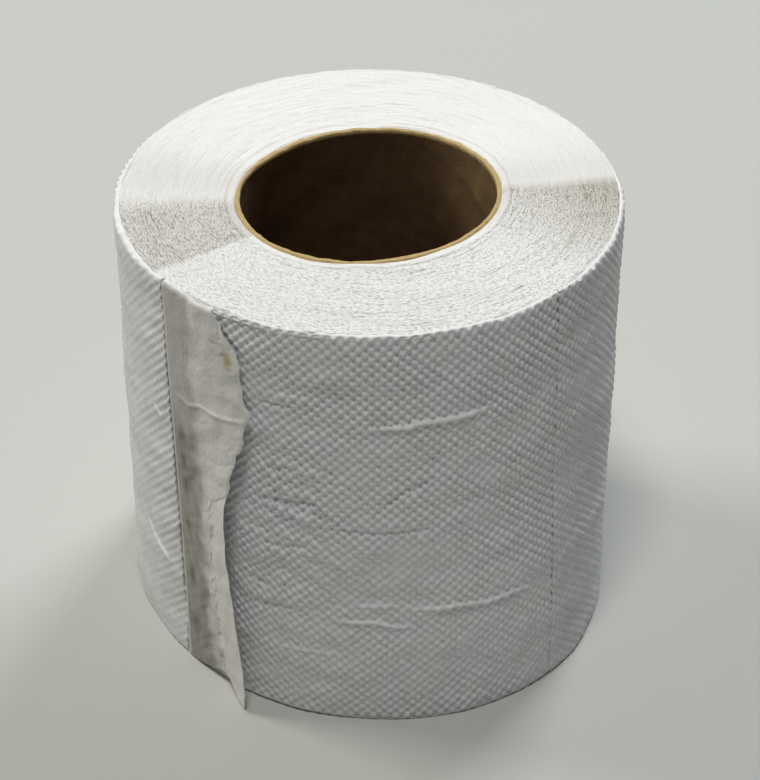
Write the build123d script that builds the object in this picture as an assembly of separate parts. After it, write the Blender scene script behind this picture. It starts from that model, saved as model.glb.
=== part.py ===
from build123d import *
import math
import os

# A part-used roll of two-ply toilet tissue standing on its end, in millimetres.
# The core's axis is +Z, the origin is on that axis at the face the roll stands on,
# and the loose tail is on the side towards -X and -Y.

# Wound tissue
roll_diameter = 100.0
roll_width = 95.0
base_radius = 50.5           # the soft base has spread a little
base_ovality = 1.9           # how far the base departs from round, each way
base_oval_angle = -45.0      # the base bulges towards this direction
base_centre = (0.8, 0.1)     # the turns have telescoped slightly off the core's axis
top_centre = (0.2, 0.4)
end_edge_radius = 0.7

# Cardboard core
core_inner_diameter = 49.6
core_wall = 0.9
core_outer_radius = core_inner_diameter / 2 + core_wall

# Perforations between sheets: the web runs clockwise, seen from above, from the tail inwards
sheet_length = 115.0
sheet_turn = math.degrees(sheet_length / (roll_diameter / 2))
first_perforation = -140.5
perforations_seen = 3
slit_length = 3.4
slit_pitch = 4.6
slit_width = 0.3
slit_depth = 0.7

# Loose tail: each station is a height, an angle round the roll, and a gap behind the sheet
sheet_thickness = 0.35
tail_root = (-142.5, -0.9)
tail_landing = (-139.2, 0.05)
tail_crease = [
    (0, -125.5, 0.7), (10, -126.5, 0.9), (24, -127.8, 1.0), (42, -128.0, 0.9), (54, -128.5, 0.5),
    (95, -130.0, 0.2),
]
tail_edge = [
    (0, -117.0, 5.4), (9, -117.4, 4.8), (21, -119.5, 3.9), (36, -121.8, 3.2), (50, -122.2, 2.8),
    (58, -120.3, 2.3), (66, -117.6, 1.8), (74, -116.0, 1.2), (80, -117.2, 0.8), (88, -119.3, 0.5),
    (95, -125.0, 0.2),
]
landing_share = 0.15         # share of the tail's width taken up by its root
crease_share = 0.6           # share of the tail's width where it creases away from the roll
tear_depth = 0.45            # raggedness of the torn edge, in degrees
columns = 26
rows = 38

# Lower edge of the tail, which lifts clear of the ground before its corner drops back
hem_angle = -129.0
hem_half_width = 8.5
hem_rise = 2.6


def on_roll(angle, gap, height):
    """Point at a gap outside the outer turn, with the angle in degrees."""
    share = height / roll_width
    turn = math.radians(angle)
    spread = base_ovality * math.cos(2 * (turn - math.radians(base_oval_angle)))
    radius = share * roll_diameter / 2 + (1 - share) * (base_radius + spread) + gap
    x = share * top_centre[0] + (1 - share) * base_centre[0]
    y = share * top_centre[1] + (1 - share) * base_centre[1]
    return Vector(x + radius * math.cos(turn), y + radius * math.sin(turn), height)


def end_face(height):
    """Outline of the wound turns at one end, as a face."""
    outline = [on_roll(step * 10, 0, height) for step in range(36)]
    return make_face(Spline(*outline, periodic=True))


def perforation_slits(angle):
    """A row of short cuts up the outer turn."""
    slits = []
    for step in range(int(roll_width / slit_pitch)):
        height = slit_pitch * (step + 0.7)
        place = Location(on_roll(angle, 0, height), (0, 0, angle))
        slits.append(place * Box(2 * slit_depth, slit_width, slit_length))
    return slits


def blend(share, start, end):
    """Angle and gap part-way between two places."""
    return start[0] + share * (end[0] - start[0]), start[1] + share * (end[1] - start[1])


def along(stations, height):
    """Angle and gap at one height, read between neighbouring stations."""
    for low, high in zip(stations, stations[1:]):
        if height <= high[0]:
            return blend((height - low[0]) / (high[0] - low[0]), low[1:], high[1:])
    return stations[-1][1:]


def tail_point(across, height):
    """Point on the tail's inner face, where across runs from 0 at the root to 1 at the torn edge."""
    crease = along(tail_crease, height)
    edge_angle, edge_gap = along(tail_edge, height)
    wander = math.sin(0.42 * height) + 0.7 * math.sin(0.93 * height + 1)
    tear = tear_depth * wander * height / roll_width
    edge = (edge_angle + tear, edge_gap)
    if across < landing_share:
        place = blend(across / landing_share, tail_root, tail_landing)
    elif across < crease_share:
        place = blend((across - landing_share) / (crease_share - landing_share), tail_landing, crease)
    else:
        place = blend((across - crease_share) / (1 - crease_share), crease, edge)
    return on_roll(*place, height)


def tail_section(height):
    """The tail's cross-section at one height: a thin strip that leaves the roll and turns outwards."""
    inner = [tail_point(step / columns, height) for step in range(columns + 1)]
    outer = []
    for step in range(columns + 1):
        run = (inner[min(step + 1, columns)] - inner[max(step - 1, 0)]).normalized()
        outer.append(inner[step] + Vector(run.Y, -run.X, 0) * sheet_thickness)
    torn_end = Line(inner[-1], outer[-1])
    root_end = Line(outer[0], inner[0])
    return make_face(Wire([Spline(*inner), torn_end, Spline(*reversed(outer)), root_end]))


# The wound turns
turns = loft([end_face(0), end_face(roll_width)], ruled=True)
turns = fillet(turns.edges().filter_by(Axis.Z, reverse=True), end_edge_radius)

# The tail, and the arch along its lower edge
tail = loft([tail_section(roll_width * row / rows) for row in range(rows + 1)], ruled=True)
facing = Vector(1, 0, 0).rotate(Axis.Z, hem_angle)
hem_plane = Plane(origin=(0, 0, 0), x_dir=facing.rotate(Axis.Z, 90), z_dir=facing)
arch = ThreePointArc((-hem_half_width, 0), (0, hem_rise), (hem_half_width, 0))
arch_face = make_face(Wire([arch, Line((hem_half_width, 0), (-hem_half_width, 0))]))
tail -= extrude(hem_plane * arch_face, roll_diameter)

# The web: turns and tail together, perforated, and open at the core
web = turns + tail
for sheet in range(perforations_seen):
    web -= perforation_slits(first_perforation - sheet * sheet_turn)
bore = Location((0, 0, roll_width / 2)) * Cylinder(core_outer_radius, 2 * roll_width)
tissue_roll = web - bore

# The core
core_outside = Cylinder(core_outer_radius, roll_width)
core_inside = Cylinder(core_inner_diameter / 2, 2 * roll_width)
core_tube = Location((0, 0, roll_width / 2)) * (core_outside - core_inside)

os.makedirs("parts", exist_ok=True)
export_step(tissue_roll, "parts/tissue_roll.step")
export_step(core_tube, "parts/core_tube.step")
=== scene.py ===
import math

import bpy
import numpy as np
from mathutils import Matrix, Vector


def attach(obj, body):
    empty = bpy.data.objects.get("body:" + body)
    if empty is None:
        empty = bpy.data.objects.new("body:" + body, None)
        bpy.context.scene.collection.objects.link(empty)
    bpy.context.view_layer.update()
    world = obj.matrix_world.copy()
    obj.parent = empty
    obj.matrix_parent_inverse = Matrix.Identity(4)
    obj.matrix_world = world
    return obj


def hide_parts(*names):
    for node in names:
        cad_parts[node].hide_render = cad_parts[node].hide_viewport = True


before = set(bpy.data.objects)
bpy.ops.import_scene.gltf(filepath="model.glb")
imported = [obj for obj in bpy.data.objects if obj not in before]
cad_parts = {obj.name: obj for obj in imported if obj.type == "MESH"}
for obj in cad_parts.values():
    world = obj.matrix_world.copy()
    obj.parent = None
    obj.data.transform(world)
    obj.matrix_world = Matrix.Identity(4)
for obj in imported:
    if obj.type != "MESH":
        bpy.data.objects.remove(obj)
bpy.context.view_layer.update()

# Lengths are in millimetres and angles in degrees until a mesh is made.
MM = 0.001

# The wound roll, as in the CAD
ROLL_RADIUS = 50.0
ROLL_WIDTH = 95.0
BASE_RADIUS = 50.5
BASE_OVALITY = 1.9
BASE_OVAL_ANGLE = -45.0
BASE_CENTRE = (0.8, 0.1)
TOP_CENTRE = (0.2, 0.4)
CORE_RADIUS = 24.8
CORE_WALL = 0.9
END_TILT = (0.011, -0.0105)      # the upper end is cut slightly out of square
RIM_RADIUS = 0.8                 # softness of the roll's two end edges

# The web
LAYER = 0.3                      # one two-ply sheet
TAIL_END = -120.0                # lengths of web are counted clockwise from here
SHEET_TURN = 132.0
TAIL_PERFORATION = -140.5
LAST_LINE = 3                    # the tail's perforation again, one turn further in

# Relief of the web's face
DOT_PITCH = (2.27, 2.22)         # embossed dots, round the roll and up it
DOT_HEIGHT = 0.68
FADED_DOTS = 0.352               # waves per mm of a fainter second lattice, both ways
FADED_HEIGHT = 0.035
CREASE_HEIGHT = 1.9              # times each crease's own height
FOLD_DEPTH = 1.7                 # times each fold's own depth
PUCKER_SLANT = -14.0

# Perforation slits
SLIT_PITCH = 4.6
SLIT_STAGGER = 1.3
SLIT_DEPTH = 0.95
SLIT_HALF_WIDTH = 0.24
SLIT_SHADES = (1.0, 0.4, 0.4)    # how much painted shade each line's slits get
TORN_LEVELS = (38, 52)           # between these heights the tail's line becomes torn almost through

# The upper edge of each outer sheet is turned under, past the last row of the face
TUCK_ROWS = (1.003, 1.006)
TUCK_SPAN = 0.57
TUCK_INSET = 0.5
TUCK_DROP = 1.1

# Colours as linear red, green and blue
TISSUE_COLOUR = (0.79, 0.79, 0.79)
CUT_EDGE_COLOUR = (0.84, 0.84, 0.83)
BOARD_COLOUR = (0.50, 0.37, 0.17)
FLOOR_COLOUR = (0.52, 0.53, 0.505)
BACKDROP_COLOUR = (0.62, 0.63, 0.61)
SKY_COLOUR = (0.97, 0.99, 1.0)
SKY_STRENGTH = 0.06

# Lamps in metres and watts: name, place, size, power and colour, all aimed at the roll
LAMP_AIM = (0, 0, 0.05)
LAMPS = [
    ("overhead", (-0.10, -0.33, 1.35), 0.25, 7.6, (1.0, 0.98, 0.95)),
    ("key", (-0.95, 0.35, 1.05), 0.40, 8.6, (1.0, 0.965, 0.89)),
    ("second", (0.45, 0.80, 1.10), 0.40, 10.0, (0.95, 0.98, 1.0)),
]

# Camera in metres, degrees and millimetres of lens
CAMERA_PLACE = (0.0008, -0.4057, 0.3527)
CAMERA_TURN = (52.944, -0.723, 0.255)
CAMERA_LENS = 112.27
CAMERA_SENSOR = 36


# ---------------------------------------------------------------- numbers

def waves(seed, x, y, long_x, long_y, count=28):
    """Smooth random field with unit spread: a sum of plane waves."""
    rng = np.random.default_rng(seed)
    total = np.zeros(np.broadcast(x, y).shape)
    for _ in range(count):
        kx, ky = rng.normal(0, 1 / long_x), rng.normal(0, 1 / long_y)
        total = total + np.cos(2 * math.pi * (kx * x + ky * y) + rng.uniform(0, 2 * math.pi))
    return total * math.sqrt(2 / count)


def wander(seed, value, length):
    """Smooth random field along one direction only."""
    return waves(seed, value, 0 * value, length, length)


def smooth(low, high, value):
    """0 below low, 1 above high, and a smooth step between."""
    t = np.clip((value - low) / (high - low), 0, 1)
    return t * t * (3 - 2 * t)


def bump(centre, width, value):
    """Bell of height 1."""
    return np.exp(-((value - centre) / width) ** 2)


def speckle(seed, rows, columns, row_blur, column_blur):
    """Random grain with unit spread, blurred along the rows and wrapped along the columns."""
    grain = np.random.default_rng(seed).standard_normal((rows, columns))
    for axis, passes in ((0, row_blur), (1, column_blur)):
        for _ in range(passes):
            grain = (grain + 0.5 * np.roll(grain, 1, axis) + 0.5 * np.roll(grain, -1, axis)) / 2
    return grain / grain.std()


def on_roll(angle, gap, height):
    """Points at a gap outside the outer turn."""
    share = height / ROLL_WIDTH
    turn = np.radians(angle)
    spread = BASE_OVALITY * np.cos(2 * (turn - math.radians(BASE_OVAL_ANGLE)))
    radius = share * ROLL_RADIUS + (1 - share) * (BASE_RADIUS + spread) + gap
    x = share * TOP_CENTRE[0] + (1 - share) * BASE_CENTRE[0] + radius * np.cos(turn)
    y = share * TOP_CENTRE[1] + (1 - share) * BASE_CENTRE[1] + radius * np.sin(turn)
    return x, y


def tilted(x, y, height):
    """Stacks coordinates, with heights sheared to the cut of the upper end."""
    return np.stack([x, y, height * (1 + (END_TILT[0] * x + END_TILT[1] * y) / ROLL_WIDTH)], -1)


def ridge(arc, height, points, width, origin=TAIL_END):
    """A crease along (angle, height) points: 1 on the line, fading across it and at its ends.

    The arc is the length of web clockwise from the origin's angle. The small offset keeps a point
    at the origin itself at the far end of the turn, with its neighbours.
    """
    best = np.zeros(np.broadcast(arc, height).shape)
    turns = [((origin - angle - 0.001) % 360, level) for angle, level in points]
    path = [(math.radians(turn) * ROLL_RADIUS, level) for turn, level in turns]
    total = sum(math.dist(p, q) for p, q in zip(path, path[1:]))
    done = 0.0
    for (x0, y0), (x1, y1) in zip(path, path[1:]):
        run = math.dist((x0, y0), (x1, y1))
        along = np.clip(((arc - x0) * (x1 - x0) + (height - y0) * (y1 - y0)) / run ** 2, 0, 1)
        away = np.hypot(arc - x0 - along * (x1 - x0), height - y0 - along * (y1 - y0))
        place = (done + along * run) / total
        fade = np.clip(4 * np.minimum(place, 1 - place) + 0.12, 0, 1)
        best = np.maximum(best, fade * np.exp(-(away / width) ** 2))
        done += run
    return best


# ---------------------------------------------------------------- meshes

def make_mesh(name, points, faces, maps, tone, flat=None):
    """A mesh piece from points in mm.

    maps holds one UV per face corner. tone holds one colour factor per point, stains, painted shade
    and painted highlights among them, and may have a fourth value, the strength of the material's
    painted shade in its gaps. flat names the faces that aren't smoothed.
    """
    mesh = bpy.data.meshes.new(name)
    faces = np.asarray(faces)
    mesh.vertices.add(len(points))
    mesh.vertices.foreach_set("co", (np.asarray(points) * MM).astype(np.float32).ravel())
    mesh.loops.add(faces.size)
    mesh.loops.foreach_set("vertex_index", faces.astype(np.int32).ravel())
    mesh.polygons.add(len(faces))
    mesh.polygons.foreach_set("loop_start", np.arange(0, faces.size, 4, dtype=np.int32))
    mesh.polygons.foreach_set("loop_total", np.full(len(faces), 4, dtype=np.int32))
    mesh.update(calc_edges=True)
    smoothed = np.ones(len(faces), bool)
    if flat is not None:
        smoothed[flat] = False
    mesh.polygons.foreach_set("use_smooth", smoothed)
    for map_name, corners in maps.items():
        layer = mesh.uv_layers.new(name=map_name)
        layer.data.foreach_set("uv", np.asarray(corners, np.float32).ravel())
    colour = mesh.color_attributes.new("tone", "FLOAT_COLOR", "POINT")
    if tone.shape[1] == 3:
        tone = np.concatenate([tone, np.zeros((len(tone), 1))], 1)
    colour.data.foreach_set("color", tone.astype(np.float32).ravel())
    mesh.validate()
    piece = bpy.data.objects.new(name, mesh)
    bpy.context.scene.collection.objects.link(piece)
    return piece


def grid_faces(rows, columns, wrap=False):
    """Corner indices of a grid's quads, and the same into the unwrapped grid for UVs."""
    row, column = np.meshgrid(np.arange(rows - 1), np.arange(columns - 1), indexing="ij")
    square = [(row, column), (row, column + 1), (row + 1, column + 1), (row + 1, column)]
    flat = np.stack([r * columns + c for r, c in square], -1).reshape(-1, 4)
    if not wrap:
        return flat, flat
    closed = np.stack([r * (columns - 1) + c % (columns - 1) for r, c in square], -1).reshape(-1, 4)
    return closed, flat


def grid_piece(name, points, web, bake, tone, wrap=False, flip=False):
    """A piece from a grid of points; web is the material's map in cm, bake the map for textures."""
    rows, columns = points.shape[:2]
    faces, corners = grid_faces(rows, columns, wrap)
    if flip:
        faces, corners = faces[:, ::-1], corners[:, ::-1]
    kept = slice(0, columns - 1) if wrap else slice(None)
    maps = {
        "web": web.reshape(-1, 2)[corners].reshape(-1, 2),
        "OFBake": bake.reshape(-1, 2)[corners].reshape(-1, 2),
    }
    return make_mesh(
        name, points[:, kept].reshape(-1, 3), faces, maps, tone[:, kept].reshape(-1, tone.shape[-1])
    )


# ---------------------------------------------------------------- the outer turn, sheet by sheet

def nominal_angle(index):
    """Angle of a perforation line, counted inwards from the tail's."""
    if index == LAST_LINE:
        return TAIL_PERFORATION - 360
    return TAIL_PERFORATION - index * SHEET_TURN


def perforation(index, height):
    """Angle of a perforation line at any height, because each wanders and leans a little."""
    low = 1 - height / ROLL_WIDTH
    if index == 0 or index == LAST_LINE:
        return nominal_angle(index) + 0.4 * np.sin(height / 19) + 0.5 * low
    if index == 2:
        return nominal_angle(index) + 1.0 * low + 0.12 * np.sin(height / 11)
    return nominal_angle(index) + 0.3 * np.sin(height / 15)


def slits(index, height):
    """How far each point of a perforation line has opened, from 0 at a tie to 1."""
    phase = (height + SLIT_STAGGER * index) % SLIT_PITCH
    cut = smooth(0.35, 0.6, phase) * (1 - smooth(3.9, 4.15, phase))
    if index == 0:
        upper = smooth(*TORN_LEVELS, height)
        return np.clip(upper * (0.75 + 0.25 * cut) + (1 - upper) * cut * 0.45, 0, 1)
    vary = 0.55 + 0.45 * wander(31 + index, height, 9)
    return cut * np.clip(vary, 0.1, 1)


def groove(index, height, away):
    """Depth of a perforation line's groove at a distance from the line."""
    return SLIT_DEPTH * slits(index, height) * np.clip(1 - away / SLIT_HALF_WIDTH, 0, 1)


# Each crease or fold is its line of (angle, height) points, its size and its width
LIGHT_CREASES = [
    ([(-92, 74.0), (-87, 74.4), (-80.5, 74.6), (-79, 75.2), (-70, 75.2), (-61, 75.9)], 0.30, 0.42),
    ([(-94, 30.4), (-83.4, 30.5)], 0.14, 0.40),
    ([(-81, 29.4), (-74, 29.2), (-70, 29.3), (-63, 28.1), (-56, 28.3), (-49.5, 27.4)], 0.26, 0.42),
    ([(-98, 26.2), (-89, 26.4), (-84, 25.1), (-80, 25.0)], 0.22, 0.40),
    ([(-110.5, 79.6), (-106, 80.0), (-102, 79.7)], 0.14, 0.5),
    ([(-159, 27.8), (-151, 24.5), (-145, 22.6)], 0.22, 0.45),
    ([(-147.6, 62.4), (-143.6, 60.9)], 0.20, 0.40),
    ([(-112, 16.6), (-101, 17.4), (-96, 16.8)], 0.10, 0.5),
    ([(150, 66), (138, 64.6), (128, 65.1)], 0.22, 0.42),
    ([(105, 31), (96, 30.2), (91, 30.6)], 0.20, 0.42),
    ([(70, 52), (58, 53.4), (49, 53.2)], 0.22, 0.42),
    ([(24, 70), (14, 70.6), (4, 69.8)], 0.16, 0.42),
]
DARK_FOLDS = [
    ([(-116, 54.0), (-108, 54.7), (-101, 55.4)], 0.30, 0.55),
    ([(-87, 55.3), (-82, 59.0), (-75, 62.1)], 0.22, 0.6),
    ([(-115, 77.4), (-107, 77.2)], 0.25, 0.5),
    ([(-99, 49.8), (-88, 49.2), (-75, 49.9)], 0.22, 0.55),
    ([(-120, 32.6), (-114, 31.8)], 0.22, 0.6),
    ([(-119, 26.6), (-113, 26.8), (-106, 28.0)], 0.25, 0.55),
    ([(-113, 61.5), (-105, 63.5)], 0.2, 0.6),
    ([(-118, 44.0), (-110, 43.2), (-103, 44.5)], 0.2, 0.6),
    ([(172, 40), (160, 41.5)], 0.22, 0.6),
    ([(40, 20), (28, 21)], 0.22, 0.6),
]


def light_creases(arc, height):
    """The pinched creases, whose crests catch the light; the sheets also brighten them in colour as
    a painted highlight.
    """
    return sum(depth * ridge(arc, height, points, width) for points, depth, width in LIGHT_CREASES)


def web_relief(arc, height, angle):
    """How far the web's face stands off its plain turn: creases, folds, puckers and embossing."""
    relief = 0.16 * waves(1, arc, height, 42, 30) + 0.05 * waves(2, arc, height, 11, 7)
    tail_side = bump(-110, 17, angle) * bump(46, 24, height)
    slant = math.radians(PUCKER_SLANT)
    across = arc * math.sin(slant) + height * math.cos(slant)
    along = arc * math.cos(slant) - height * math.sin(slant)
    puckers = waves(3, along, across, 16, 3.2)
    relief = relief + (0.012 + 0.10 * tail_side) * puckers
    creased = light_creases(arc, height)
    relief = relief + CREASE_HEIGHT * creased
    for points, depth, width in DARK_FOLDS:
        relief = relief - FOLD_DEPTH * depth * ridge(arc, height, points, width)
    row = np.cos(2 * math.pi * height / DOT_PITCH[1])
    dots = 0.5 + 0.5 * np.cos(2 * math.pi * arc / DOT_PITCH[0]) * row
    faded_wave = 2 * math.pi * FADED_DOTS
    faded = 0.5 + 0.5 * np.cos(faded_wave * arc) * np.cos(faded_wave * height)
    strength = 0.84 + 0.13 * waves(4, arc, height, 26, 22) + 0.09 * waves(5, arc, height, 5, 4)
    strength = strength * (0.55 + 0.45 * smooth(5, 62, height))
    strength = strength * (1 - 0.86 * bump(-166, 27, angle)) * (1 - 0.5 * bump(-5, 25, angle))
    strength = np.clip(strength, 0.08, 1.15) * (1 - 3 * np.minimum(creased, 0.3))
    return relief + DOT_HEIGHT * strength * (dots ** 1.7 - 0.33) + FADED_HEIGHT * (faded - 0.5)


def rim_inset(height):
    """How far the end edges are rounded in."""
    near = np.minimum(height, ROLL_WIDTH - height)
    inside = np.clip(1 - near / RIM_RADIUS, 0, 1)
    return RIM_RADIUS * (1 - np.sqrt(1 - inside ** 2))


def sheet_grid(columns, rows):
    """Shares across a sheet and heights up it, with extra lines beside its four edges."""
    lip = 0.16 / (math.radians(SHEET_TURN) * ROLL_RADIUS)
    across = np.linspace(0, 1, columns)
    across = np.sort(np.concatenate([across, [lip, 2 * lip, 1 - 2 * lip, 1 - lip]]))
    up = np.linspace(0, 1, rows)
    up = np.sort(np.concatenate([up, [0.0018, 0.0042, 0.9958, 0.9982, *TUCK_ROWS]]))
    return np.meshgrid(across, up * ROLL_WIDTH)


def outer_sheet(name, first, columns, rows, seed):
    """One sheet of the outer turn, from one perforation line to the next."""
    second = first + 1
    s, height = sheet_grid(columns, rows)
    tuck = np.clip(height - ROLL_WIDTH, 0, 1) / TUCK_SPAN
    height = np.minimum(height, ROLL_WIDTH)
    start, end = perforation(first, height), perforation(second, height)
    angle = start + s * (end - start)
    length = math.radians(nominal_angle(first) - nominal_angle(second)) * ROLL_RADIUS
    arc = math.radians(TAIL_END - nominal_angle(first)) * ROLL_RADIUS + s * length
    shown = (angle + 180) % 360 - 180
    gap = LAYER * (0.5 - (TAIL_END - angle) / 360)
    under_tail = smooth(0, 6, TAIL_END - 364 - angle)
    gap = gap + (1 - 0.8 * under_tail) * web_relief(arc, height, shown) - 0.35 * under_tail
    lines = [(first, s * length, 1.4)]
    if second < LAST_LINE:
        lines.append((second, (1 - s) * length, 1.3))
    slit_shade = 0
    for index, away, reach in lines:
        gap = gap - groove(index, height, away) - 0.10 * np.exp(-away / 0.8)
        darkened = np.clip(reach - away / SLIT_HALF_WIDTH, 0, 1)
        slit_shade = slit_shade + SLIT_SHADES[index] * slits(index, height) * darkened
    fray = speckle(seed, height.shape[0], height.shape[1], 0, 2)
    rim = rim_inset(height) + TUCK_INSET * tuck
    x, y = on_roll(angle, gap * np.clip(1 - rim / 0.5, 0.1, 1) - rim, height)
    top = smooth(ROLL_WIDTH - 1.2, ROLL_WIDTH, height)
    lifted = height - TUCK_DROP * tuck + top * (0.07 * wander(seed + 40, arc, 7) + 0.03 * fray)
    points = tilted(x, y, lifted)
    tone = np.ones(points.shape)
    stain = 0.004 * waves(seed + 60, arc, height, 24, 20)
    tone[..., 0] += stain - 0.01
    tone[..., 2] -= stain - 0.01
    # Painted highlight: the crease crests are brightened in colour as well as raised.
    tone *= 1 + 0.8 * light_creases(arc, height)[..., None]
    # Painted shade: the open perforation slits are darkened in colour as well as grooved.
    tone *= 1 - 0.88 * np.clip(slit_shade, 0, 1)[..., None]
    web = np.stack([arc / 10, height / 10], -1)
    bake = np.stack([s, (height + tuck) / (ROLL_WIDTH + 1)], -1)
    return grid_piece(name, points, web, bake * 0.996 + 0.002, tone, flip=True)


# ---------------------------------------------------------------- the loose tail

# Stations up the tail: a height, an angle and a gap outside the outer turn, as in the CAD
TAIL_CREASE = [
    (0, -125.5, 0.7), (10, -126.5, 0.9), (24, -127.8, 1.0), (42, -128.0, 0.9), (54, -128.5, 0.5),
    (95, -130.0, 0.2),
]
TAIL_EDGE = [
    (0, -117.0, 5.4), (9, -117.4, 4.8), (21, -119.5, 3.9), (36, -121.8, 3.2), (50, -122.2, 2.8),
    (58, -120.3, 2.3), (66, -117.6, 1.8), (74, -116.0, 1.2), (80, -117.2, 0.8), (88, -119.3, 0.5),
    (95, -125.0, 0.2),
]
TAIL_FOLD = 0.55                 # share of the tail's width where it creases outwards
TAIL_ORIGIN = -100.0             # the tail's own creases are counted clockwise from here
TAIL_CROSS_CREASE = [(-139, 69.8), (-133, 69.6), (-129.5, 70.8), (-123, 71.0), (-116, 72.3)]
HEM_RISE = 2.6
INNER_PLY = 0.13                 # thickness of each ply
OUTER_PLY = 0.14
TAIL_COLOUR = (0.97, 0.955, 0.915)
TAIL_BACK_COLOUR = (0.95, 0.94, 0.92)

# Dark blotches beside the perforation: height, half-height, and half-width as a share of the tail
TAIL_BLOTCHES = [
    (60.5, 2.2, 0.07), (54, 2.6, 0.08), (48.5, 2.0, 0.06), (38, 1.4, 0.05), (24, 2.0, 0.05),
    (11.5, 2.6, 0.08),
]


def station(table, column, height):
    """One column of a table of stations, read at any height."""
    table = np.array(table)
    return np.interp(height, table[:, 0], table[:, column])


def torn_ply_edge(height):
    """Share of the tail's width that the outer ply still covers."""
    flake = 0.16 * bump(87.5, 3.2, height) * (1 + 0.3 * wander(75, height, 1.5))
    strip = 1 - smooth(47, 54, height)
    return 0.98 - flake - strip * (0.94 - TAIL_FOLD + 0.03 * wander(76, height, 4))


def tail_tone(u, arc, height, on_ply):
    """Colour of the tail's outer face: a dark band beside the perforation, partly stain and partly
    painted shade, with stain blotches, painted shade in the slits and a small stain.
    """
    ragged = 0.03 * waves(78, arc, height, 5, 9)
    # The band is partly a stain and partly painted shade of the hollow beside the perforation.
    band = smooth(0.02, 0.06, u) * (1 - smooth(0.34, 0.54, u + ragged))
    band = band * (0.62 + 0.38 * (1 - smooth(55, 72, height)))
    blotches = 0
    for level, size, wide in TAIL_BLOTCHES:
        blotches = blotches + bump(level, size, height) * bump(0.17, wide, u)
    dark = band * (0.52 + 0.04 * waves(79, arc, height, 2.2, 5)) + 0.22 * np.clip(blotches, 0, 1)
    # Painted shade in the open slits of the perforation.
    dark = np.maximum(dark, 0.9 * slits(0, height) * np.clip(1.9 - arc / 0.2, 0, 1))
    spot = bump(85.0, 2.0, height) * bump(0.88, 0.05, u)
    tone = np.ones((*u.shape, 3)) * np.array(TAIL_COLOUR)
    tone = tone * (1 - np.clip(dark, 0, 0.85)[..., None] * np.array([0.93, 0.95, 1.0]))
    tone = tone * (1 - 0.55 * spot[..., None] * np.array([0.75, 0.85, 1.25]))
    return tone * (1 + 0.04 * (1 - on_ply)[..., None])


def shell_faces(rows, columns):
    """Faces of an inner grid, of an outer grid after it, and last the four edges between them."""
    count = rows * columns
    grid, _ = grid_faces(rows, columns)
    bottom, top = np.arange(columns), (rows - 1) * columns + np.arange(columns)
    left, right = np.arange(rows) * columns, np.arange(rows) * columns + columns - 1
    edges = []
    for line, turned in ((bottom, False), (top, True), (left, True), (right, False)):
        edge = np.stack([line[:-1], line[1:], line[1:] + count, line[:-1] + count], -1)
        edges.append(edge[:, ::-1] if turned else edge)
    return np.concatenate([grid[:, ::-1], grid + count] + edges), 2 * len(grid)


def loose_tail(columns=112, rows=280):
    """The torn part-sheet beyond the perforation: two plies, creased, its edge turned outwards."""
    u, height = np.meshgrid(np.linspace(0, 1, columns), np.linspace(0, ROLL_WIDTH, rows))
    start = perforation(0, height)
    crease_angle, crease_gap = station(TAIL_CREASE, 1, height), station(TAIL_CREASE, 2, height)
    edge_angle, edge_gap = station(TAIL_EDGE, 1, height), station(TAIL_EDGE, 2, height)
    tear = 0.26 * wander(71, height, 7) + 0.12 * wander(72, height, 1.6)
    edge_angle = edge_angle + tear * (0.25 + 0.75 * smooth(45, 65, height))
    inner_share = np.clip(u / TAIL_FOLD, 0, 1)
    outer_share = np.clip((u - TAIL_FOLD) / (1 - TAIL_FOLD), 0, 1)
    angle = start + inner_share * (crease_angle - start) + outer_share * (edge_angle - crease_angle)
    root_gap = LAYER * (0.5 - (TAIL_END - TAIL_PERFORATION) / 360) - LAYER
    gap = root_gap + inner_share ** 1.6 * (crease_gap - root_gap)
    gap = gap + outer_share ** 1.1 * (edge_gap - crease_gap)
    arc = np.radians(angle - start) * ROLL_RADIUS
    crumple = 0.08 * waves(73, arc, height, 8, 12) + 0.018 * waves(74, arc, height, 2.5, 3)
    clockwise = np.radians(TAIL_ORIGIN - angle) * ROLL_RADIUS
    cross = ridge(clockwise, height, TAIL_CROSS_CREASE, 0.42, TAIL_ORIGIN)
    loose = smooth(0.1, 0.4, u)
    gap = gap + loose * crumple + 0.24 * cross * smooth(0, 0.2, u) - groove(0, height, arc)
    gap = gap - rim_inset(height) * 0.5
    on_ply = 1 - smooth(-0.004, 0.004, u - torn_ply_edge(height))
    thick = INNER_PLY + OUTER_PLY * on_ply + 0.012 * speckle(77, rows, columns, 1, 1) * loose
    lifted = height + HEM_RISE * bump(0.52, 0.24, u) * (1 - height / ROLL_WIDTH) ** 8
    inner = tilted(*on_roll(angle, gap, height), lifted)
    outer = tilted(*on_roll(angle, gap + thick, height), lifted)
    faces, first_edge = shell_faces(rows, columns)
    web = np.stack([arc / 10, height / 10], -1).reshape(-1, 2)
    web = np.concatenate([web, web + 0.7])
    bake = np.stack([0.01 + 0.48 * u, 0.01 + 0.98 * height / ROLL_WIDTH], -1).reshape(-1, 2)
    bake = np.concatenate([bake + [0.5, 0], bake])
    back_tone = np.ones((rows * columns, 3)) * np.array(TAIL_BACK_COLOUR)
    front_tone = tail_tone(u, arc, height, on_ply).reshape(-1, 3)
    return make_mesh(
        "web_tail",
        np.concatenate([inner.reshape(-1, 3), outer.reshape(-1, 3)]),
        faces,
        {"web": web[faces].reshape(-1, 2), "OFBake": bake[faces].reshape(-1, 2)},
        np.concatenate([back_tone, front_tone]),
        flat=slice(first_edge, None),
    )


# ---------------------------------------------------------------- the two ends

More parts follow.
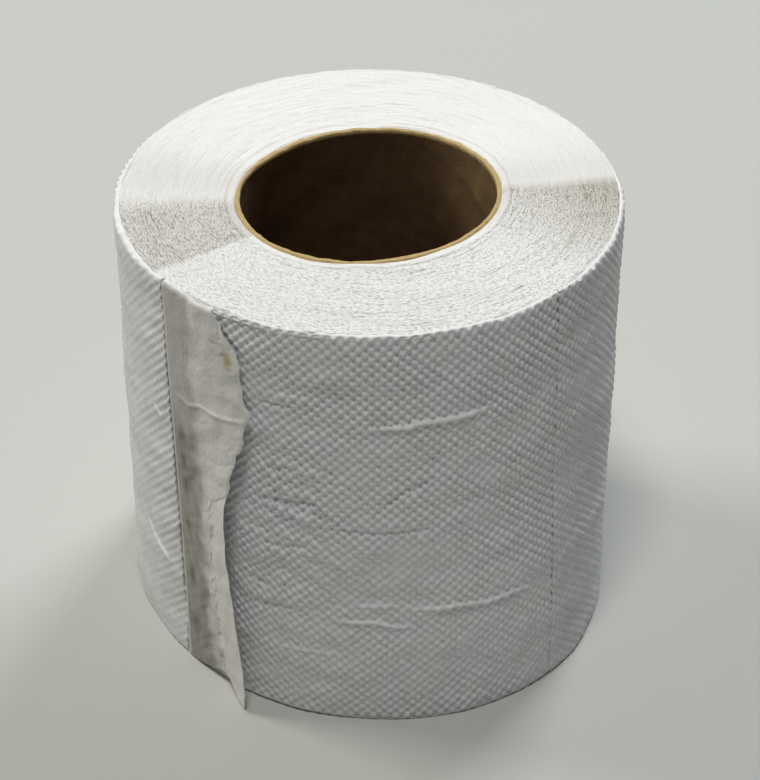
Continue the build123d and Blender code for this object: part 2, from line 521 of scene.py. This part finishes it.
def wound_end(name, upper, rows=188, columns=521):
    """The edges of all the turns, seen end on."""
    t, angle = np.meshgrid(np.linspace(0, 1, rows), np.linspace(-180, 180, columns), indexing="ij")
    turn = np.radians(angle)
    level = ROLL_WIDTH if upper else 0.0
    edge_x, edge_y = on_roll(angle, -0.25, np.full(angle.shape, level))
    bore = CORE_RADIUS + CORE_WALL
    wound = ROLL_RADIUS - bore
    oval = mouth_oval(angle) if upper else 0 * angle
    core_x, core_y = (bore + oval) * np.cos(turn), (bore + oval) * np.sin(turn)
    x, y = core_x + t * (edge_x - core_x), core_y + t * (edge_y - core_y)
    depth = t * wound
    arc = turn * (bore + depth)
    layer_seed, grain_seed, fine_seed = (5, 11, 13) if upper else (6, 12, 14)
    offsets = np.random.default_rng(layer_seed).standard_normal(112)
    lines = np.interp(depth / LAYER + angle / 360, np.arange(-2, 110), offsets)
    grain = speckle(grain_seed, rows, columns, 0, 2)
    fine = speckle(fine_seed, rows, columns, 0, 1)
    front, wedge, dim = sectors(angle, upper)
    rough = 0.35 + 0.65 * front + 0.7 * wedge
    near_core = 1 - smooth(1.2, 2.2, depth)
    rough = rough * (1 - 0.8 * near_core)
    relief = 0.012 * lines * (1 - near_core) + rough * (0.035 * grain + 0.03 * fine)
    relief = relief + 0.10 * waves(15, arc, depth, 30, 14) + 0.05 * waves(16, arc, depth, 14, 1.6)
    loose = bump(1.9, 0.22, depth + 0.25 * np.sin(2 * turn))
    relief = relief - 0.16 * loose - 0.10 * bump(4.4, 0.2, depth - 0.4 * np.cos(turn))
    relief = relief - 0.25 * (1 - smooth(0, 0.5, depth))
    relief = relief + 0.06 * wedge - 1.1 * smooth(wound - 0.75, wound + 0.1, depth)
    height = level + relief if upper else np.clip(0.1 - relief, 0, 1.2)
    # Painted shade in the gaps between the layers and in the sunken loose ring; the wedge, the dim
    # right side and the sectors near 12° and 172° are painted darker as well.
    gaps = np.clip(0.9 * grain + 0.6 * fine + 0.5 * lines - 0.5, 0, 2.2)
    outward = smooth(0, 24, depth)
    shade = (0.02 + 0.07 * front + 0.24 * wedge + 0.12 * dim) * gaps * (1 - 0.75 * near_core)
    shade = shade + 0.20 * wedge + (0.13 + 0.20 * outward) * dim + 0.14 * loose
    shade = shade + 0.12 * bump(12, 12, angle) + 0.13 * bump(172, 12, angle % 360) * (1 - wedge)
    # How strong the material's painted shade in the gaps is.
    gap_shade_amount = np.clip(0.10 + 0.62 * front + 0.9 * wedge + 0.25 * dim, 0, 1) * (1 - 0.8 * near_core)
    darkening = np.clip(shade, 0, 0.75)[..., None] * np.array([0.92, 0.97, 1.1])
    tone = np.concatenate([1 - darkening, gap_shade_amount[..., None]], -1)
    web = np.stack([arc / 10, depth / 10], -1)
    radius = 0.245 + 0.25 * t
    bake = np.stack([0.5 + radius * np.cos(turn), 0.5 + radius * np.sin(turn)], -1)
    return grid_piece(name, tilted(x, y, height), web, bake, tone, wrap=True, flip=upper)


def mouth_oval(angle):
    """The upper mouth of the core is pressed slightly out of round."""
    turn = np.radians(angle)
    return 0.46 * np.cos(2 * turn) + 0.92 * np.sin(2 * turn)


def sectors(angle, upper):
    """Shares of the upper end's sectors, with their own grain and darkness: front grain, dark
    wedge, dim right.
    """
    if not upper:
        return np.full(angle.shape, 0.5), np.zeros(angle.shape), np.zeros(angle.shape)
    turn = angle % 360
    front = smooth(214, 217, turn) + (1 - smooth(2, 5, turn))
    wedge = smooth(180, 192, turn) * (1 - smooth(214.5, 216.5, turn))
    dim = smooth(318, 358, turn) + (1 - smooth(3, 9, turn))
    return front, wedge, dim


# ---------------------------------------------------------------- the cardboard core

HELIX_PITCH = 78.0               # rise of the core's seam in one turn
RIM_SOFTNESS = 0.18


def core_profile(along):
    """The tube's section as closed (wall, height) rows: outside, upper rim, inside, lower rim."""
    outside = np.stack([np.full(12, CORE_WALL), np.linspace(0, ROLL_WIDTH, 12)], 1)
    upper_rim = [
        [CORE_WALL - RIM_SOFTNESS, ROLL_WIDTH + 0.10],
        [CORE_WALL / 2, ROLL_WIDTH + 0.14],
        [RIM_SOFTNESS, ROLL_WIDTH + 0.08],
    ]
    inside = np.stack([np.zeros(along), np.linspace(ROLL_WIDTH, 0, along)], 1)
    lower_rim = [[RIM_SOFTNESS, 0.0], [CORE_WALL - RIM_SOFTNESS, 0.0]]
    return np.concatenate([outside, upper_rim, inside, lower_rim, outside[:1]])


def core_tube(around=301, along=100):
    """The spirally wound tube, with its seam, its rough upper rim and its inside painted darker:
    partly darker board, partly painted shade, with a painted pool of light near the top.
    """
    profile = core_profile(along)
    rows = len(profile)
    angle = np.linspace(-180, 180, around)[None, :] + np.zeros((rows, 1))
    turn = np.radians(angle)
    wall, plain_height = profile[:, :1] + 0 * angle, profile[:, 1:] + 0 * angle
    share = np.clip(plain_height / ROLL_WIDTH, 0, 1)
    bore_side = 1 - smooth(0.1, 0.5, wall)
    helix = (angle / 360 - plain_height / HELIX_PITCH) % 1
    seam = 0.12 * smooth(0, 0.012, helix) * (1 - smooth(0, 1, helix))
    seam = seam + 0.05 * bump(0.5, 0.012, helix)
    arc = turn * CORE_RADIUS
    dent = 0.10 * waves(21, arc, plain_height, 30, 24)
    radius = CORE_RADIUS + wall + bore_side * (dent - seam) + mouth_oval(angle) * share ** 3
    rim = smooth(ROLL_WIDTH - 0.6, ROLL_WIDTH, plain_height)
    fuzz = speckle(22, rows, around, 0, 1)
    height = plain_height + rim * (0.06 * wander(23, arc, 6) + 0.05 * fuzz)
    # The inside wall is painted much darker, partly darker board and partly painted shade of the
    # deep bore; lit is a painted pool of light high on the inner wall near 30°.
    inner_face = bore_side * (1 - smooth(ROLL_WIDTH - 0.25, ROLL_WIDTH + 0.02, plain_height))
    lit = bump(30, 28, angle) * smooth(66, ROLL_WIDTH, height)
    tone = 1 - (inner_face * (1 - 0.28 * lit))[..., None] * np.array([0.78, 0.84, 0.84])
    blotch = 0.08 * waves(24, arc, height, 9, 7)
    line = bump(0.0, 0.010, np.minimum(helix, 1 - helix))
    tone = tone * (1 + inner_face * (blotch - 0.35 * line))[..., None]
    web = np.stack([arc / 10, height / 10 + wall], -1)
    order = np.arange(rows)[:, None] / (rows - 1) + 0 * angle
    bake = np.stack([(angle + 180) / 360, order], -1) * 0.996 + 0.002
    points = tilted(radius * np.cos(turn), radius * np.sin(turn), height)
    return grid_piece("core_wound_tube", points, web, bake, tone, wrap=True, flip=True)


# ---------------------------------------------------------------- materials

def material(name, colour, roughness):
    """A Principled material and its node tree."""
    made = bpy.data.materials.new(name)
    made.use_nodes = True
    shader = made.node_tree.nodes["Principled BSDF"]
    shader.inputs["Base Color"].default_value = (*colour, 1)
    shader.inputs["Roughness"].default_value = roughness
    shader.inputs["Specular IOR Level"].default_value = 0.25
    return made, made.node_tree, shader


def node(tree, kind, **settings):
    """A node with attributes and unlinked inputs set by name."""
    made = tree.nodes.new(kind)
    for key, value in settings.items():
        if hasattr(made, key):
            setattr(made, key, value)
        else:
            made.inputs[key].default_value = value
    return made


def stretched(tree, scale):
    """The web map, scaled differently round and up."""
    place = node(tree, "ShaderNodeUVMap", uv_map="web")
    mapping = node(tree, "ShaderNodeMapping")
    mapping.inputs["Scale"].default_value = scale
    tree.links.new(place.outputs["UV"], mapping.inputs["Vector"])
    return mapping.outputs["Vector"]


def noise(tree, scale, detail, roughness=0.6):
    """Noise on the stretched web map, whose features are about a centimetre over the scale."""
    settings = {"noise_dimensions": "2D", "Detail": detail, "Roughness": roughness, "Scale": 1.0}
    made = node(tree, "ShaderNodeTexNoise", **settings)
    tree.links.new(stretched(tree, scale), made.inputs["Vector"])
    return made.outputs["Fac"]


def ranged(tree, value, low, high, out_low, out_high):
    """Maps a value's range to another."""
    made = node(tree, "ShaderNodeMapRange")
    limits = {"From Min": low, "From Max": high, "To Min": out_low, "To Max": out_high}
    for key, number in limits.items():
        made.inputs[key].default_value = number
    tree.links.new(value, made.inputs["Value"])
    return made.outputs["Result"]


def grey(tree, value):
    """A value as a colour."""
    made = node(tree, "ShaderNodeCombineColor")
    for key in ("Red", "Green", "Blue"):
        tree.links.new(value, made.inputs[key])
    return made.outputs["Color"]


def multiply(tree, colour, other, amount=None):
    """One colour times another, wholly or by an amount."""
    made = node(tree, "ShaderNodeMix", data_type="RGBA", blend_type="MULTIPLY")
    made.inputs[0].default_value = 1.0
    if amount is not None:
        tree.links.new(amount, made.inputs[0])
    tree.links.new(colour, made.inputs[6])
    tree.links.new(other, made.inputs[7])
    return made.outputs[2]


def finish_paper(tree, shader, grains, bumps, roughness_noise, gaps=None):
    """Colour from the base, the painted tone, painted shade in the gaps and grains; bump and
    roughness from noises.
    """
    base = node(tree, "ShaderNodeRGB")
    base.outputs[0].default_value = shader.inputs["Base Color"].default_value
    tone = node(tree, "ShaderNodeAttribute", attribute_name="tone")
    colour = multiply(tree, base.outputs[0], tone.outputs["Color"])
    # Painted shade in the gaps between layers, as strong as the tone's fourth value.
    if gaps is not None:
        shade = grey(tree, ranged(tree, gaps, 0.36, 0.50, 0.45, 1.0))
        colour = multiply(tree, colour, shade, tone.outputs["Alpha"])
    for value, low, high in grains:
        colour = multiply(tree, colour, grey(tree, ranged(tree, value, 0.25, 0.75, low, high)))
    tree.links.new(colour, shader.inputs["Base Color"])
    normal = None
    for value, distance in bumps:
        made = node(tree, "ShaderNodeBump", Strength=1.0, Distance=distance)
        tree.links.new(value, made.inputs["Height"])
        if normal is not None:
            tree.links.new(normal, made.inputs["Normal"])
        normal = made.outputs["Normal"]
    tree.links.new(normal, shader.inputs["Normal"])
    tree.links.new(ranged(tree, roughness_noise, 0.2, 0.8, 0.82, 1.0), shader.inputs["Roughness"])


def tissue_material():
    """Soft creped tissue: fine upright crepe lines and loose fibres."""
    made, tree, shader = material("tissue_paper", TISSUE_COLOUR, 0.92)
    crepe = noise(tree, (26, 7, 1), 3)
    fibre = noise(tree, (48, 40, 1), 4, 0.7)
    cloud = noise(tree, (2.4, 2.0, 1), 3)
    grains = [(fibre, 0.94, 1.05), (cloud, 0.97, 1.03)]
    bumps = [(crepe, 0.00007), (fibre, 0.00005)]
    finish_paper(tree, shader, grains, bumps, fibre)
    return made


def end_material():
    """Cut edges of the turns: grain drawn out along the layers, with painted shade in the gaps
    between them.
    """
    made, tree, shader = material("tissue_cut_edges", CUT_EDGE_COLOUR, 0.95)
    streak = noise(tree, (9, 46, 1), 4, 0.65)
    fibre = noise(tree, (34, 60, 1), 4, 0.7)
    grains = [(streak, 0.93, 1.05), (fibre, 0.95, 1.04)]
    bumps = [(streak, 0.00010), (fibre, 0.00007)]
    finish_paper(tree, shader, grains, bumps, fibre, gaps=noise(tree, (13, 40, 1), 2))
    return made


def cardboard_material():
    """Grey-brown core board with fibres and flecks."""
    made, tree, shader = material("core_board", BOARD_COLOUR, 0.9)
    fibre = noise(tree, (22, 12, 1), 5, 0.7)
    fleck = noise(tree, (9, 14, 1), 4)
    grains = [(fibre, 0.82, 1.16), (fleck, 0.88, 1.12)]
    finish_paper(tree, shader, grains, [(fibre, 0.00008)], fleck)
    return made


# ---------------------------------------------------------------- building

def use(piece, surface, node_name):
    """Material, body and hidden CAD node of a finished piece."""
    piece.data.materials.append(surface)
    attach(piece, "root")
    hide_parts(node_name)


tissue = tissue_material()
cut_edges = end_material()
board = cardboard_material()

use(outer_sheet("web_sheet_left", 0, 352, 258, 101), tissue, "tissue_roll")
use(outer_sheet("web_sheet_back", 1, 352, 258, 102), tissue, "tissue_roll")
use(outer_sheet("web_sheet_front", 2, 296, 300, 103), tissue, "tissue_roll")
use(loose_tail(), tissue, "tissue_roll")
use(wound_end("web_end_upper", True), cut_edges, "tissue_roll")
use(wound_end("web_end_lower", False, 44, 241), cut_edges, "tissue_roll")
use(core_tube(), board, "core_tube")


# ---------------------------------------------------------------- floor, light and camera

def lay_floor():
    """A plain pale floor."""
    bpy.ops.mesh.primitive_plane_add(size=6)
    floor = bpy.context.object
    floor.name = "floor"
    floor.data.materials.append(material("pale_floor", FLOOR_COLOUR, 0.8)[0])


def lamp(name, place, size, power, colour):
    """A soft square lamp aimed at the roll."""
    light = bpy.data.lights.new(name, "AREA")
    light.shape = "SQUARE"
    light.size, light.energy, light.color = size, power, colour
    made = bpy.data.objects.new(name, light)
    bpy.context.scene.collection.objects.link(made)
    made.location = place
    direction = np.array(LAMP_AIM) - np.array(place)
    made.rotation_mode = "QUATERNION"
    made.rotation_quaternion = Vector(direction).to_track_quat("-Z", "Y")


def light_scene():
    """Soft studio light from above, in front, the left and behind, with a dim sky.

    The camera sees a pale backdrop in place of the sky, which lights nothing.
    """
    world = bpy.data.worlds.new("studio")
    bpy.context.scene.world = world
    world.use_nodes = True
    tree = world.node_tree
    sky = tree.nodes["Background"]
    sky.inputs["Color"].default_value = (*SKY_COLOUR, 1)
    sky.inputs["Strength"].default_value = SKY_STRENGTH
    backdrop = tree.nodes.new("ShaderNodeBackground")
    backdrop.inputs["Color"].default_value = (*BACKDROP_COLOUR, 1)
    seen = tree.nodes.new("ShaderNodeLightPath")
    either = tree.nodes.new("ShaderNodeMixShader")
    tree.links.new(seen.outputs["Is Camera Ray"], either.inputs[0])
    tree.links.new(sky.outputs[0], either.inputs[1])
    tree.links.new(backdrop.outputs[0], either.inputs[2])
    tree.links.new(either.outputs[0], tree.nodes["World Output"].inputs["Surface"])
    for settings in LAMPS:
        lamp(*settings)


def place_camera():
    """The camera stands in front, looking down at the roll."""
    camera = bpy.data.objects.new("camera", bpy.data.cameras.new("camera"))
    bpy.context.scene.collection.objects.link(camera)
    camera.data.sensor_width = CAMERA_SENSOR
    camera.data.lens = CAMERA_LENS
    camera.location = CAMERA_PLACE
    camera.rotation_euler = [math.radians(turn) for turn in CAMERA_TURN]
    bpy.context.scene.camera = camera


lay_floor()
light_scene()
place_camera()
bpy.context.scene.view_settings.view_transform = "Standard"
